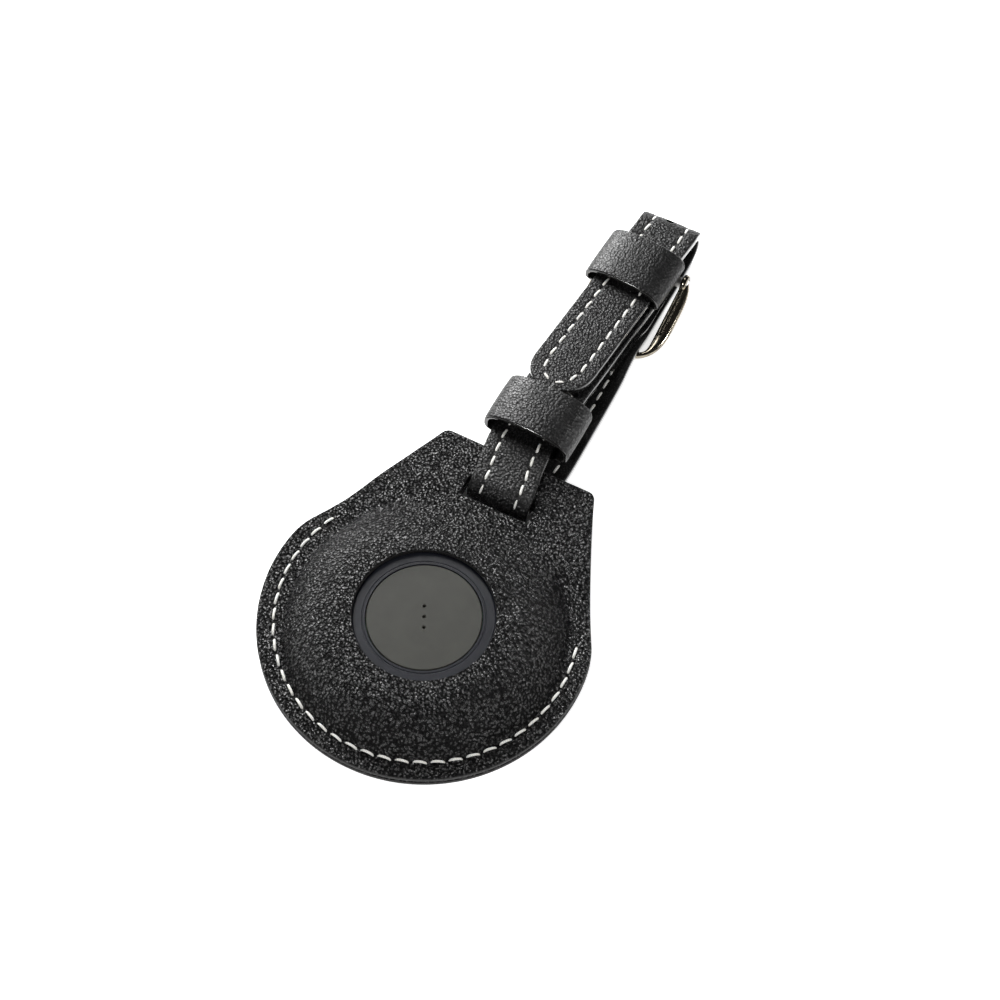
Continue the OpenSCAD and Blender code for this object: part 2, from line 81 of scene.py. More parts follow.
FLAP_RUN = [(1, 73.6, 5.9), (1.7, 80, 5.9), (1.95, 82.4, 5.8), (2.2, 84.5, 5.35), (2.65, 88.3, 4.35), (2.75, 94, 3.9),
            (2.85, 99.5, 3.62)]
FRONT_RUN = [(2.7, 99, 6.12), (2, 90, 6.15), (1.1, 80, 6.8), (0.2, 70, 7.15), (-0.6, 62, 7.3), (-1.1, 54, 7.3),
             (-1.3, 46.5, 7.3), (-1, 42.3, 7.2), (-0.4, 38.5, 6.85)]
BACK_RUN = [(1.6, 40, 1.2), (2.9, 46, 1.2), (3.1, 60, 1.2), (3.1, 72, 1.25), (3.1, 76, 2.4), (3.1, 79.6, 3.52),
            (3.2, 83, 3.6), (3.2, 86.3, 2.25), (3.1, 89.5, 1.42), (3.2, 96, 1.35), (3.4, 104, 1.4)]
TONGUE_RUN = [(2.6, 104, 9.3), (1.9, 96, 9.33), (1.1, 88, 9.33), (0.1, 78, 9.35), (-0.8, 69, 9.45), (-1.9, 59.4, 9.5)]


# ---------------------------------------------------------------- mesh helpers

def make_object(name, verts_mm, faces, material_ids=None, smooth=True):
    """A mesh object from vertices in millimetres, at the origin of the shared frame."""
    mesh = bpy.data.meshes.new(name)
    mesh.from_pydata((np.asarray(verts_mm, float) * MM).tolist(), [], faces)
    mesh.update()
    if smooth:
        mesh.polygons.foreach_set("use_smooth", [True] * len(mesh.polygons))
    if material_ids is not None:
        mesh.polygons.foreach_set("material_index", list(material_ids))
    piece = bpy.data.objects.new(name, mesh)
    bpy.context.scene.collection.objects.link(piece)
    return piece


def grid_faces(rows, cols, close_rows, close_cols, start=0):
    """Quads of a rows by cols grid of vertices, joined round where asked, and the row and column of each."""
    faces, places = [], []
    for i in range(rows if close_rows else rows - 1):
        for j in range(cols if close_cols else cols - 1):
            i2, j2 = (i + 1) % rows, (j + 1) % cols
            faces.append((start + i * cols + j, start + i * cols + j2, start + i2 * cols + j2, start + i2 * cols + j))
            places.append((i, j))
    return faces, places


def smoothstep(a, b, x):
    """0 below a, 1 above b, and a smooth rise between them."""
    t = np.clip((np.asarray(x, float) - a) / (b - a), 0.0, 1.0)
    return t * t * (3 - 2 * t)


def wobble(points_mm, size_mm, height_mm, seed):
    """Slow random height at each point, for leather that isn't perfectly even."""
    shift = Vector((seed * 7.3, seed * 3.1, seed * 5.7))
    return np.array([noise.noise(Vector(p) / size_mm + shift) for p in points_mm]) * height_mm


def catmull(points, per_span):
    """Smooth curve through control points, without the last one."""
    p = [np.array(q, float) for q in points]
    out = []
    for i in range(len(p) - 1):
        a, b, c, d = p[max(i - 1, 0)], p[i], p[i + 1], p[min(i + 2, len(p) - 1)]
        for k in range(per_span):
            t = k / per_span
            out.append(0.5 * (2 * b + (c - a) * t + (2 * a - 5 * b + 4 * c - d) * t * t
                              + (3 * b - a - 3 * c + d) * t ** 3))
    return out


def arc_yz(x, y, z, r, start, end, count):
    """Points of an arc across the strap's bends, from angle start to end in degrees."""
    angles = np.radians(np.linspace(start, end, count))
    return [np.array([x, y + r * math.cos(a), z + r * math.sin(a)]) for a in angles]


class Path:
    """A curve sampled by arc length, with its direction and its outward side in the plane across the strap."""

    def __init__(self, points, step=0.45):
        raw = np.array(points, float)
        keep = [0] + [i for i in range(1, len(raw)) if np.linalg.norm(raw[i] - raw[i - 1]) > 0.02]
        raw = raw[keep]
        s = np.concatenate([[0], np.cumsum(np.linalg.norm(np.diff(raw, axis=0), axis=1))])
        self.length = s[-1]
        self.s = np.linspace(0, self.length, int(self.length / step) + 1)
        pts = np.stack([np.interp(self.s, s, raw[:, k]) for k in range(3)], 1)
        for _ in range(3):
            pts[1:-1] = 0.25 * pts[:-2] + 0.5 * pts[1:-1] + 0.25 * pts[2:]
        self.points = pts
        tangent = np.gradient(pts, self.s, axis=0)
        tangent[:, 0] = 0
        tangent /= np.linalg.norm(tangent, axis=1)[:, None]
        self.out = np.stack([np.zeros(len(pts)), tangent[:, 2], -tangent[:, 1]], 1)

    def at(self, s, x, t):
        """Point at arc length s, x to the side and t outwards."""
        s = np.asarray(s, float)
        base = np.stack([np.interp(s, self.s, self.points[:, k]) for k in range(3)], -1)
        out = np.stack([np.interp(s, self.s, self.out[:, k]) for k in range(3)], -1)
        out /= np.linalg.norm(out, axis=-1)[..., None]
        return base + out * np.asarray(t, float)[..., None] + np.asarray(x, float)[..., None] * np.array([1.0, 0, 0])

    def nearest(self, y, low_z=None, high_z=None, near=None):
        """Arc length of the point nearest to height y along the strap, within a band of z."""
        score = np.abs(self.points[:, 1] - y)
        if low_z is not None:
            score = np.where(self.points[:, 2] < low_z, 1e6, score)
        if high_z is not None:
            score = np.where(self.points[:, 2] > high_z, 1e6, score)
        if near is not None:
            score = np.where(np.abs(self.s - near) > 30, 1e6, score)
        return self.s[int(np.argmin(score))]


# ---------------------------------------------------------------- node helpers and materials

class Nodes:
    """Short way to write a material's nodes."""

    def __init__(self, name):
        self.material = bpy.data.materials.new(name)
        self.material.use_nodes = True
        self.tree = self.material.node_tree
        self.tree.nodes.clear()
        self.shader = self.add("ShaderNodeBsdfPrincipled")
        output = self.add("ShaderNodeOutputMaterial")
        self.join(self.shader.outputs[0], output.inputs[0])
        texture_at = self.add("ShaderNodeTexCoord")
        scale = self.add("ShaderNodeVectorMath", operation="SCALE")
        scale.inputs["Scale"].default_value = 1 / MM
        self.join(texture_at.outputs["Object"], scale.inputs[0])
        self.mm = scale.outputs[0]

    def add(self, kind, **settings):
        node = self.tree.nodes.new(kind)
        for key, value in settings.items():
            setattr(node, key, value)
        return node

    def join(self, a, b):
        self.tree.links.new(a, b)

    def set(self, **values):
        for key, value in values.items():
            self.shader.inputs[key.replace("_", " ")].default_value = value
        return self

    def noise(self, size_mm, detail=3.0, rough=0.55, where=None):
        node = self.add("ShaderNodeTexNoise")
        node.inputs["Scale"].default_value = 1 / size_mm
        node.inputs["Detail"].default_value = detail
        node.inputs["Roughness"].default_value = rough
        self.join(where or self.mm, node.inputs["Vector"])
        return node.outputs["Fac"]

    def cells(self, size_mm, smooth=0.35, where=None, feature="SMOOTH_F1"):
        node = self.add("ShaderNodeTexVoronoi", feature=feature)
        node.inputs["Scale"].default_value = 1 / size_mm
        if feature == "SMOOTH_F1":
            node.inputs["Smoothness"].default_value = smooth
        self.join(where or self.mm, node.inputs["Vector"])
        return node.outputs["Distance"]

    def warp(self, size_mm, amount_mm, stretch=(1, 1, 1)):
        """Coordinates shaken by noise, so that cells aren't regular."""
        node = self.add("ShaderNodeTexNoise")
        node.inputs["Scale"].default_value = 1 / size_mm
        self.join(self.mm, node.inputs["Vector"])
        move = self.add("ShaderNodeVectorMath", operation="MULTIPLY_ADD")
        move.inputs[1].default_value = (amount_mm,) * 3
        self.join(node.outputs["Color"], move.inputs[0])
        self.join(self.mm, move.inputs[2])
        stretched = self.add("ShaderNodeVectorMath", operation="MULTIPLY")
        stretched.inputs[1].default_value = stretch
        self.join(move.outputs[0], stretched.inputs[0])
        return stretched.outputs[0]

    def remap(self, value, low, high, to_low, to_high):
        node = self.add("ShaderNodeMapRange")
        for index, number in enumerate((low, high, to_low, to_high)):
            node.inputs[index + 1].default_value = number
        self.join(value, node.inputs[0])
        return node.outputs[0]

    def math(self, operation, a, b):
        node = self.add("ShaderNodeMath", operation=operation)
        for index, value in enumerate((a, b)):
            if isinstance(value, (int, float)):
                node.inputs[index].default_value = value
            else:
                self.join(value, node.inputs[index])
        return node.outputs[0]

    def mix(self, fac, color_a, color_b):
        node = self.add("ShaderNodeMix", data_type="RGBA")
        self.join(fac, node.inputs["Factor"])
        for socket, color in ((node.inputs[6], color_a), (node.inputs[7], color_b)):
            if isinstance(color, tuple):
                socket.default_value = (*color, 1)
            else:
                self.join(color, socket)
        return node.outputs[2]

    def bump(self, height, depth_mm, strength=1.0, after=None):
        node = self.add("ShaderNodeBump")
        node.inputs["Strength"].default_value = strength
        node.inputs["Distance"].default_value = depth_mm * MM
        self.join(height, node.inputs["Height"])
        if after is not None:
            self.join(after, node.inputs["Normal"])
        return node.outputs[0]

    def color(self, value):
        self.join(value, self.shader.inputs["Base Color"])

    def roughness(self, value):
        self.join(value, self.shader.inputs["Roughness"])

    def normal(self, value):
        self.join(value, self.shader.inputs["Normal"])


def leather(name, cell, depth, rough, crease, gloss, stretch=(1, 1, 1)):
    """Black pebbled leather: small irregular glossy pebbles with dull creases between them, and a base colour
    darkened in the creases as painted shade.
    """
    m = Nodes(name)
    where = m.warp(cell * 1.6, cell * 0.7, stretch)
    big = m.cells(cell, 0.12, where)
    small = m.cells(cell * 0.5, 0.2, where)
    slow = m.noise(6.0, 2.0)
    pebble = m.math("SUBTRACT", 1.0, m.math("POWER", big, 1.6))
    height = m.math("ADD", pebble, m.math("MULTIPLY", small, -0.22))
    top = m.remap(height, 0.55, 0.85, 0.0, 1.0)
    # Painted shade: the base colour is darker in the creases between the pebbles and lighter on their tops, following
    # the bump's height.
    m.color(m.mix(top, (0.001, 0.001, 0.0011), (0.006, 0.0058, 0.0056)))
    m.join(m.remap(top, 0.0, 1.0, crease, gloss), m.shader.inputs["Specular IOR Level"])
    m.roughness(m.math("ADD", m.remap(top, 0.0, 1.0, rough + 0.12, rough), m.remap(slow, 0.3, 0.7, -0.04, 0.04)))
    m.normal(m.bump(height, depth))
    return m.material


def edge_paint(name, rough, coat):
    """Black paint on cut edges, slightly uneven."""
    m = Nodes(name)
    m.set(Specular_IOR_Level=0.5, Coat_Weight=coat, Coat_Roughness=0.08)
    streak = m.noise(0.5, 3.0)
    m.color(m.mix(m.noise(1.8), (0.004, 0.0038, 0.0036), (0.012, 0.0115, 0.011)))
    m.roughness(m.remap(streak, 0.3, 0.7, rough, rough + 0.2))
    m.normal(m.bump(streak, 0.05, 0.7))
    return m.material


def suede():
    m = Nodes("suede")
    m.set(Roughness=0.92, Sheen_Weight=0.35, Sheen_Roughness=0.5)
    m.color(m.mix(m.noise(0.6, 4.0), (0.016, 0.015, 0.014), (0.05, 0.047, 0.044)))
    m.normal(m.bump(m.noise(0.12, 3.0), 0.06))
    return m.material


def thread():
    """Waxed white thread: twisted strands with painted shade in the grooves between them, and a little dirt."""
    m = Nodes("thread")
    m.set(Specular_IOR_Level=0.35, Sheen_Weight=0.15, Subsurface_Weight=0.05)
    wave = m.add("ShaderNodeTexWave", wave_type="BANDS", bands_direction="DIAGONAL")
    wave.inputs["Scale"].default_value = 1.15
    wave.inputs["Distortion"].default_value = 1.0
    wave.inputs["Detail"].default_value = 1.0
    m.join(m.mm, wave.inputs["Vector"])
    strand = wave.outputs["Fac"]
    # Painted shade: the colour is darker in the grooves between the strands, where the bump is low.
    white = m.mix(m.remap(strand, 0.0, 0.5, 0.0, 1.0), (0.7, 0.68, 0.63), (0.95, 0.94, 0.9))
    m.color(m.mix(m.remap(m.noise(1.3), 0.35, 0.6, 0.0, 1.0), (0.85, 0.83, 0.77), white))
    m.roughness(m.remap(strand, 0.0, 1.0, 0.62, 0.42))
    m.normal(m.bump(strand, 0.05))
    return m.material


def plastic(name, low, high, rough, grain_mm=0.09, depth=0.008, gloss=0.5):
    """Moulded plastic with a fine spark texture and slow variation in gloss."""
    m = Nodes(name)
    m.set(Specular_IOR_Level=gloss)
    m.color(m.mix(m.remap(m.noise(5.0), 0.3, 0.7, 0.0, 1.0), low, high))
    m.roughness(m.remap(m.noise(2.2), 0.3, 0.7, rough - 0.05, rough + 0.06))
    m.normal(m.bump(m.noise(grain_mm, 2.0), depth))
    return m.material


def metal(name, low, high, rough, scratch_mm=0.35, depth=0.004):
    """Polished plated metal with faint polishing lines and handling marks."""
    m = Nodes(name)
    m.set(Metallic=1.0)
    lines = m.noise(scratch_mm, 5.0, 0.7, m.warp(3.0, 0.4, (1.0, 0.12, 1.0)))
    wear = m.noise(2.5, 4.0)
    m.color(m.mix(m.remap(wear, 0.35, 0.65, 0.0, 1.0), low, high))
    m.roughness(m.remap(lines, 0.25, 0.75, rough, rough + 0.12))
    m.normal(m.bump(lines, depth))
    return m.material


def board_green():
    m = Nodes("board_green")
    m.set(Specular_IOR_Level=0.5, Coat_Weight=0.6, Coat_Roughness=0.12)
    traces = m.remap(m.cells(1.4, 0.0, feature="DISTANCE_TO_EDGE"), 0.03, 0.06, 1.0, 0.0)
    m.color(m.mix(traces, (0.006, 0.085, 0.035), (0.02, 0.18, 0.07)))
    m.roughness(m.remap(m.noise(1.0), 0.3, 0.7, 0.28, 0.4))
    m.normal(m.bump(traces, 0.02))
    return m.material


# Painted shadow: centre and radii of the circle under the pouch's slot where the floor's glow fades out.
SLOT_SHADOW_CENTRE, SLOT_SHADOW_RADII, FLOOR_GLOW = (1.0, 34.0, 0.0), (10.0, 12.5), 0.75


def studio_floor():
    """White paper with a glow of its own, except in a circle under the pouch's slot, where the glow is turned off as
    a painted shadow.
    """
    m = Nodes("studio_floor")
    away = m.add("ShaderNodeVectorMath", operation="DISTANCE")
    away.inputs[1].default_value = SLOT_SHADOW_CENTRE
    m.join(m.mm, away.inputs[0])
    m.set(Roughness=0.85, Specular_IOR_Level=0.1, Base_Color=(0.9, 0.9, 0.9, 1), Emission_Color=(1, 1, 1, 1))
    # Painted shadow: the glow fades to nothing inside the circle under the slot, so the floor there stays dark.
    m.join(m.remap(away.outputs["Value"], *SLOT_SHADOW_RADII, 0.0, FLOOR_GLOW), m.shader.inputs["Emission Strength"])
    return m.material


POUCH_LEATHER = leather("pouch_leather", cell=0.58, depth=0.41, rough=0.24, crease=0.1, gloss=1.0)
STRAP_LEATHER = leather("strap_leather_skin", cell=0.56, depth=0.2, rough=0.34, crease=0.25, gloss=0.68)
KEEPER_LEATHER = leather("keeper_leather", cell=0.56, depth=0.12, rough=0.3, crease=0.3, gloss=0.55,
                         stretch=(1.0, 1.0, 0.8))
LINING_LEATHER = leather("lining_leather", cell=0.4, depth=0.06, rough=0.5, crease=0.2, gloss=0.4)
EDGE_PAINT = edge_paint("edge_paint_gloss", rough=0.06, coat=0.8)
EDGE_MATT = edge_paint("edge_paint_matt", rough=0.5, coat=0.0)
THREAD = thread()
SUEDE = suede()
CASING = plastic("casing_plastic", (0.008, 0.009, 0.013), (0.012, 0.013, 0.018), 0.34, gloss=0.3)
FACE = plastic("face_plastic", (0.028, 0.028, 0.023), (0.034, 0.034, 0.028), 0.5, gloss=0.35)
INNER_PLASTIC = plastic("inner_plastic", (0.03, 0.03, 0.032), (0.06, 0.06, 0.064), 0.5)
CHIP = plastic("chip_epoxy", (0.01, 0.01, 0.011), (0.02, 0.02, 0.022), 0.55)
CERAMIC = plastic("ceramic", (0.6, 0.57, 0.5), (0.75, 0.72, 0.65), 0.45)
RUBBER = plastic("seal_rubber", (0.05, 0.05, 0.052), (0.09, 0.09, 0.095), 0.6)
NICKEL = metal("nickel", (0.72, 0.71, 0.69), (0.86, 0.85, 0.83), 0.28)
GUNMETAL = metal("gunmetal", (0.2, 0.18, 0.145), (0.38, 0.34, 0.27), 0.1)
STEEL = metal("cell_steel", (0.55, 0.55, 0.55), (0.7, 0.7, 0.69), 0.25)
BRASS = metal("brass", (0.62, 0.42, 0.15), (0.78, 0.56, 0.24), 0.22)


# ---------------------------------------------------------------- pouch

def sway(y):
    """Sideways shift of the outline: the round body sits a little to the left of the neck."""
    return BODY_SHIFT + (NECK_SHIFT - BODY_SHIFT) * np.clip((np.asarray(y, float) - 8) / 34, 0, 1)


def outline(inset):
    """The pouch's edge moved inwards, anticlockwise from the bottom, with the same number of points at any inset."""
    towards = lambda angle: np.array([math.cos(angle), math.sin(angle)])
    shoulder = np.array([0, POUCH_CY]) + (POUCH_R - SHOULDER_R) * towards(SHOULDER_A)
    side = shoulder + (SHOULDER_R + SIDE_R) * towards(SIDE_A)
    corner = max(CORNER_R - inset, 0.3)
    cy = NECK_TOP - inset - corner
    reach = SIDE_R + inset + corner
    cx = side[0] - math.sqrt(reach ** 2 - (side[1] - cy) ** 2)
    end = math.asin((side[1] - cy) / reach)

    def arc(x, y, r, start, stop, count):
        a = np.linspace(start, stop, count, endpoint=False)
        return np.stack([x + r * np.cos(a), y + r * np.sin(a)], 1)

    top = np.stack([np.linspace(cx, 0, 40), np.full(40, NECK_TOP - inset)], 1)
    half = np.concatenate([arc(0, POUCH_CY, POUCH_R - inset, -math.pi / 2, SHOULDER_A, 150),
                           arc(*shoulder, SHOULDER_R - inset, SHOULDER_A, SIDE_A, 20),
                           arc(*side, SIDE_R + inset, math.pi + SIDE_A, math.pi + end, 46),
                           arc(cx, cy, corner, end, math.pi / 2, 12), top])
    ring = np.concatenate([half, (half * [-1, 1])[-2:0:-1]])
    ring[:, 0] += sway(ring[:, 1])
    return ring


def lift(y):
    """Height by which the neck bends up over the strap behind it."""
    y = np.asarray(y, float)
    ramp = NECK_LIFT * (1 - np.cos(np.pi * np.clip((y - LIFT_FROM) / (LIFT_TO - LIFT_FROM), 0, 1))) / 2
    return ramp + np.maximum(y - LIFT_TO, 0) * NECK_SLOPE


def front_height(x, y):
    """Top of the front leather without its groove and edge: a pillow round the window, and a slope up to the neck."""
    r = np.hypot(x, y)
    flange = FLANGE_TOP + lift(y)
    t = np.clip((r - WINDOW_R) / (DOME_FOOT_R - WINDOW_R), 0, 1)
    pillow = FLANGE_Z + (WINDOW_Z - FLANGE_Z) * (1 - t * t) ** PILLOW_POWER
    slope = WINDOW_Z - (WINDOW_Z - FLANGE_TOP - NECK_LIFT) * (t * SLOPE_REACH) ** SLOPE_POWER
    towards_neck = smoothstep(0.35, 0.95, y / np.maximum(r, 1e-6))
    skin = pillow * (1 - towards_neck) + slope * towards_neck
    blend = BLEND_WIDTH + NECK_BLEND_WIDTH * towards_neck
    gap = np.maximum(blend - np.abs(flange - skin), 0) / blend
    return np.maximum(flange, skin) + gap * gap * blend * 0.25 * smoothstep(WINDOW_R, WINDOW_R + 3, r)


def seam_groove(x, y, inset):
    """Depth of the pressed line that the stitches lie in, only where the pouch is sewn."""
    angle = np.degrees(np.arctan2(y - POUCH_CY, x - BODY_SHIFT)) % 360
    sewn = ((angle > SEAM_START - SEAM_GROOVE_PAST) | (angle < SEAM_END - 360 + SEAM_GROOVE_PAST)).astype(float)
    return SEAM_GROOVE * np.exp(-((inset - SEAM_INSET) / SEAM_GROOVE_HALF) ** 2) * sewn


EDGE_INSETS = [0.0, 0.05, 0.16, 0.34, 0.6]
EDGE_DROPS = [0.58, 0.32, 0.14, 0.04, 0.0]
FLANGE_INSETS = [0.9, 1.3, 1.8, 2.2, 2.5, 2.7, 2.85, 3.0, 3.1, 3.2, 3.3, 3.4, 3.55, 3.7, 3.9, 4.2, 4.6, 5.0, 5.5]


def window_circle(like):
    """The window's edge, at the same angles as the points given."""
    a = np.arctan2(like[:, 1], like[:, 0])
    return np.stack([WINDOW_R * np.cos(a), WINDOW_R * np.sin(a)], 1)


def pouch_rows(height, thickness, with_window):
    """Rings of the leather's cross-section, from the edge over the top to the middle and back underneath."""
    rows, painted = [], []

    def add(xy, z, is_edge=False):
        rows.append(np.column_stack([xy, z]))
        painted.append(is_edge)

    for inset, drop in zip(EDGE_INSETS, EDGE_DROPS):
        xy = outline(inset)
        add(xy, height(xy[:, 0], xy[:, 1]) - drop, inset < 0.3)
    for inset in FLANGE_INSETS:
        xy = outline(inset)
        add(xy, height(xy[:, 0], xy[:, 1]) - seam_groove(xy[:, 0], xy[:, 1], inset))
    inner = outline(FLANGE_INSETS[-1])
    middle = window_circle(inner) if with_window else np.tile([0.0, POUCH_CY], (len(inner), 1))
    steps = 1 - (1 - np.linspace(0, 1, 62)[1:]) ** 1.15
    for t in steps[:-1]:
        xy = inner * (1 - t) + middle * t
        add(xy, height(xy[:, 0], xy[:, 1]))
    if with_window:
        for a in np.radians([0, 30, 60, 90]):
            xy = middle * (WINDOW_R + WINDOW_LIP * (1 - math.sin(a))) / WINDOW_R
            add(xy, height(xy[:, 0], xy[:, 1]) - WINDOW_LIP * (1 - math.cos(a)), a > 0.8)
        for a in np.radians([0, 45, 90]):
            xy = middle * (WINDOW_R + WINDOW_LIP_UNDER * (1 - math.cos(a))) / WINDOW_R
            add(xy, height(xy[:, 0], xy[:, 1]) - thickness + WINDOW_LIP_UNDER * (1 - math.sin(a)), a < 0.5)
    else:
        add(inner * 0.004 + middle * 0.996, height(middle[:, 0], middle[:, 1]))
        add(inner * 0.004 + middle * 0.996, height(middle[:, 0], middle[:, 1]) - thickness)
    for t in np.linspace(1, 0, 30)[1:]:
        xy = inner * (1 - t) + middle * t
        add(xy, height(xy[:, 0], xy[:, 1]) - thickness)
    for inset in FLANGE_INSETS[::-1]:
        xy = outline(inset)
        groove = 0.0 if with_window else seam_groove(xy[:, 0], xy[:, 1], inset)
        add(xy, height(xy[:, 0], xy[:, 1]) - thickness + groove)
    for inset, drop in list(zip(EDGE_INSETS, EDGE_DROPS))[::-1]:
        xy = outline(inset)
        add(xy, height(xy[:, 0], xy[:, 1]) - thickness + drop, inset < 0.3)
    return rows, painted


def prism(name, outline_points, place, depth, material):
    """A closed prism: outline points in a plane, carried by place(u, v, w), from w = 0 to depth."""
    n = len(outline_points)
    verts = [place(u, v, w) for w in (0.0, depth) for u, v in outline_points]
    faces = [tuple(range(n))[::-1], tuple(range(n, 2 * n))]
    faces += [(i, (i + 1) % n, n + (i + 1) % n, n + i) for i in range(n)]
    piece = make_object(name, verts, faces, smooth=False)
    piece.data.materials.append(material)
    return piece


def bake_modifiers(piece):
    """Replaces the piece's mesh by the one its modifiers make."""
    bpy.context.view_layer.update()
    shaped = bpy.data.meshes.new_from_object(piece.evaluated_get(bpy.context.evaluated_depsgraph_get()))
    old = piece.data
    piece.modifiers.clear()
    piece.data = shaped
    bpy.data.meshes.remove(old)


def apply_cut(piece, cutter):
    """Subtracts the cutter from the piece, and removes the cutter."""
    modifier = piece.modifiers.new("cut", "BOOLEAN")
    modifier.operation = "DIFFERENCE"
    modifier.solver = "EXACT"
    modifier.object = cutter
    bake_modifiers(piece)
    bpy.data.objects.remove(cutter)


def cut_slot(piece):
    """Cuts the strap's slot, with rounded ends, through a piece."""
    r = SLOT_CORNER_R
    x0, x1, y0, y1 = SLOT_X - SLOT_W / 2, SLOT_X + SLOT_W / 2, SLOT_Y0, SLOT_Y1
    ring = []
    for cx, cy, start in ((x1 - r, y1 - r, 0), (x0 + r, y1 - r, 90), (x0 + r, y0 + r, 180), (x1 - r, y0 + r, 270)):
        for a in np.radians(np.linspace(start, start + 90, 7)):
            ring.append((cx + r * math.cos(a), cy + r * math.sin(a)))
    through = lambda u, v, w: (u, v, w + SLOT_CUT_Z)
    apply_cut(piece, prism("slot_cutter", ring, through, SLOT_CUT_DEPTH, EDGE_MATT))


def pouch_panel(name, height, thickness, with_window, node, seed):
    rows, painted = pouch_rows(height, thickness, with_window)
    count = len(rows[0])
    verts = np.concatenate(rows)
    amount = 0.10 if with_window else 0.04
    drift = wobble(verts * [1, 1, 0], 9.0, amount, seed)
    inside = smoothstep(0.5, 5.0, np.abs(np.hypot(verts[:, 0], verts[:, 1]) - WINDOW_R)) if with_window else 1.0
    verts[:, 2] += drift * inside
    verts[:, 2] = np.maximum(verts[:, 2], 0.0)
    faces, places = grid_faces(len(rows), count, True, True)
    ids = [1 if painted[i] and painted[(i + 1) % len(rows)] else 0 for i, _ in places]
    faces = [f[::-1] for f in faces]
    piece = make_object(name, verts, faces, ids)
    piece.data.materials.append(POUCH_LEATHER)
    piece.data.materials.append(EDGE_MATT)
    cut_slot(piece)
    piece.data.set_sharp_from_angle(angle=math.radians(50))
    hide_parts(node)
    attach(piece, "pouch")


def make_pouch():
    pouch_panel("pouch_front_leather", front_height, LEATHER_T - 0.04, True, "pouch_front", 1)
    pouch_panel("pouch_back_leather", lambda x, y: LEATHER_T + lift(y), LEATHER_T, False, "pouch_back", 2)


# ---------------------------------------------------------------- stitches

class Stitches:
    """Collects stitches and makes one object of them."""

    sides, rings = 8, 9

    def __init__(self):
        self.verts, self.faces = [], []

    def add(self, start, end, up, arch=0.2, sink=0.42):
        """One stitch that rises out of the leather at start, arches over and dives in at end."""
        start, end, up = (np.asarray(v, float) for v in (start, end, up))
        along = (end - start) / np.linalg.norm(end - start)
        side = np.cross(along, up)
        side /= np.linalg.norm(side)
        base = len(self.verts)
        for k in range(self.rings):
            t = k / (self.rings - 1)
            hump = math.sin(math.pi * t) ** 0.55
            centre = start + (end - start) * t + up * (hump * (arch + sink) - sink)
            slope = 0.0 if 0 < k < self.rings - 1 else (1.0 if k == 0 else -1.0)
            axis_up = up * math.cos(slope) - along * math.sin(slope)
            r = THREAD_D / 2 * (0.86 + 0.14 * math.sin(math.pi * t))
            for j in range(self.sides):
                a = 2 * math.pi * j / self.sides
                self.verts.append(centre + side * (r * math.cos(a) * 1.08) + axis_up * (r * math.sin(a) * 0.86))
        faces, _ = grid_faces(self.rings, self.sides, False, True, base)
        self.faces += faces
        self.faces.append(tuple(base + j for j in range(self.sides))[::-1])
        last = base + (self.rings - 1) * self.sides
        self.faces.append(tuple(last + j for j in range(self.sides)))

    def finish(self, name, body, *nodes):
        piece = make_object(name, self.verts, self.faces)
        piece.data.materials.append(THREAD)
        if nodes:
            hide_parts(*nodes)
        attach(piece, body)


def make_pouch_stitches():
    """The seam round the pouch, on its front and in the groove of its back."""
    seam_r = POUCH_R - SEAM_INSET
    step = math.degrees(STITCH_PITCH / seam_r)
    half = math.degrees(STITCH_LEN / 2 / seam_r)
    front, back = Stitches(), Stitches()
    for k in range(int((SEAM_END - SEAM_START) / step) + 1):
        a = SEAM_START + k * step
        ends = []
        for sign in (-1, 1):
            angle = math.radians(a + sign * half)
            r = seam_r + sign * STITCH_SLANT
            y = POUCH_CY + r * math.sin(angle)
            ends.append((r * math.cos(angle) + float(sway(y)), y))
        top = [(x, y, float(front_height(x, y)) - 0.1) for x, y in ends]
        front.add(top[0], top[1], (0, 0, 1))
        under = [(x, y, 0.3) for x, y in ends]
        back.add(under[0], under[1], (0, 0, -1), arch=-0.02)
    front.finish("pouch_seam_front", "pouch", "pouch_thread")
    back.finish("pouch_seam_back", "pouch")


# ---------------------------------------------------------------- strap

def strap_path():
    fold = arc_yz(2.85, BAR_Y, BAR_Z, BAR_R + 0.05, -90, 90, 24)
    bend = arc_yz(0.1, BEND_Y, BEND_Z, BEND_R, 90, 270, 24)
    turn = arc_yz(TURN_X, TURN_Y, TURN_Z, TURN_R, -90, 90, 30)
    points = catmull(FLAP_RUN + [fold[0]], 12) + fold
    points += catmull([fold[-1]] + FRONT_RUN + [bend[0]], 12) + bend
    points += catmull([bend[-1]] + BACK_RUN + [turn[0]], 12) + turn
    points += catmull([turn[-1]] + TONGUE_RUN, 12) + [np.array(TONGUE_RUN[-1], float)]
    return Path(points)


STRAP = strap_path()


def strap_half(s):
    """Half width near the pointed tip of the tongue."""
    left = np.clip((STRAP.length - np.asarray(s, float)) / TIP_LEN, 0.002, 1)
    return STRAP_HALF * np.sqrt(1 - (1 - left) ** TIP_POWER)


